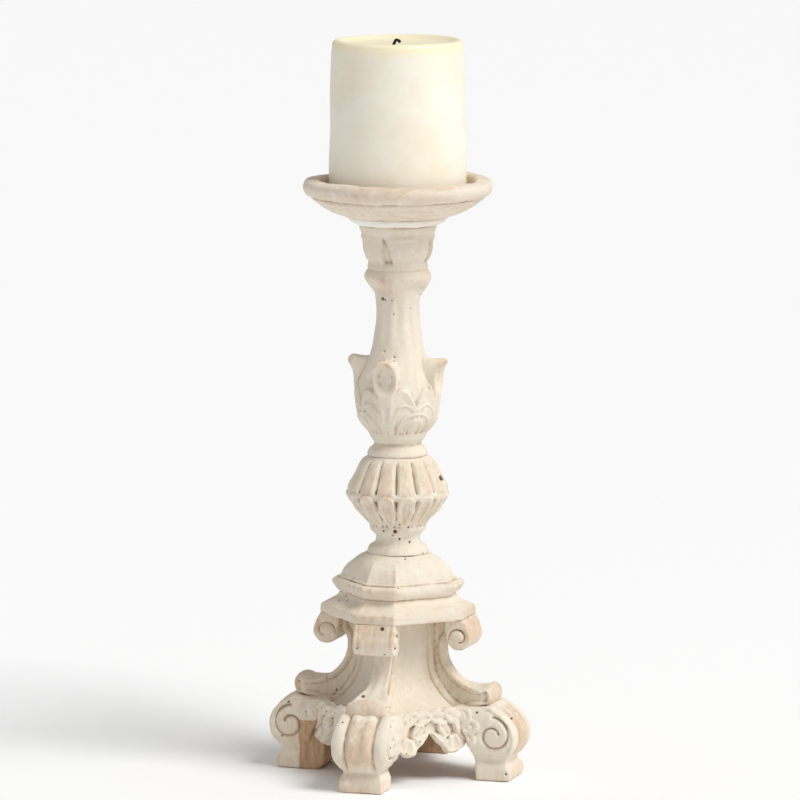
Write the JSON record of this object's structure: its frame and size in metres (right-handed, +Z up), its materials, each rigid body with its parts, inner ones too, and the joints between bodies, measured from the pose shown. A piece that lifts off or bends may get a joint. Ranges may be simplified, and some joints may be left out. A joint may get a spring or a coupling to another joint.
{
  "type": "candlestick",
  "caption": "Carved whitewashed wooden pillar candlestick: scroll-footed square base, fluted knop, acanthus column and round drip pan holding a lift-off candle.",
  "frame": {"origin": "centre of the footprint, on the floor plane that the soles of the feet rest on", "axes": "+Z up along the stick's axis; the flat sides of the base face +X, -X, +Y and -Y and the four feet point along the diagonals; the front is the -Y side"},
  "size_m": [0.1232, 0.1232, 0.408],
  "materials": {
    "whitewashed_wood": "thin chalky whitewash, rubbed through to tan wood on the raised carving, with small worm holes",
    "bare_wood": "plain unpainted wood",
    "dull_steel": "dull steel",
    "ivory_wax": "smooth ivory wax, slightly translucent",
    "charred_cotton": "charred cotton wick"
  },
  "bodies": {
    "candlestick": {"base_core": "whitewashed_wood", "scroll_bracket_front_right": "whitewashed_wood", "scroll_bracket_back_right": "whitewashed_wood", "scroll_bracket_back_left": "whitewashed_wood", "scroll_bracket_front_left": "whitewashed_wood", "scroll_foot_front_right": "whitewashed_wood", "scroll_foot_back_right": "whitewashed_wood", "scroll_foot_back_left": "whitewashed_wood", "scroll_foot_front_left": "whitewashed_wood", "foot_dowel_front_right": "bare_wood", "foot_dowel_back_right": "bare_wood", "foot_dowel_back_left": "bare_wood", "foot_dowel_front_left": "bare_wood", "leaf_apron_front": "whitewashed_wood", "leaf_apron_right": "whitewashed_wood", "leaf_apron_back": "whitewashed_wood", "leaf_apron_left": "whitewashed_wood", "cornice": "whitewashed_wood", "dome_block": "whitewashed_wood", "fluted_knop": "whitewashed_wood", "carved_column": "whitewashed_wood", "pan_collar": "whitewashed_wood", "drip_pan": "whitewashed_wood", "base_washer": "dull_steel", "base_screw": "dull_steel", "stem_dowel": "bare_wood", "pricket": "dull_steel"},
    "candle": {"pillar_candle": "ivory_wax", "candle_wick": "charred_cotton"}
  },
  "joints": [
    {"name": "candle_lift", "type": "slide", "parent": "candlestick", "child": "candle", "axis": [0, 0, 1], "range_m": [0, 0.045]}
  ]
}
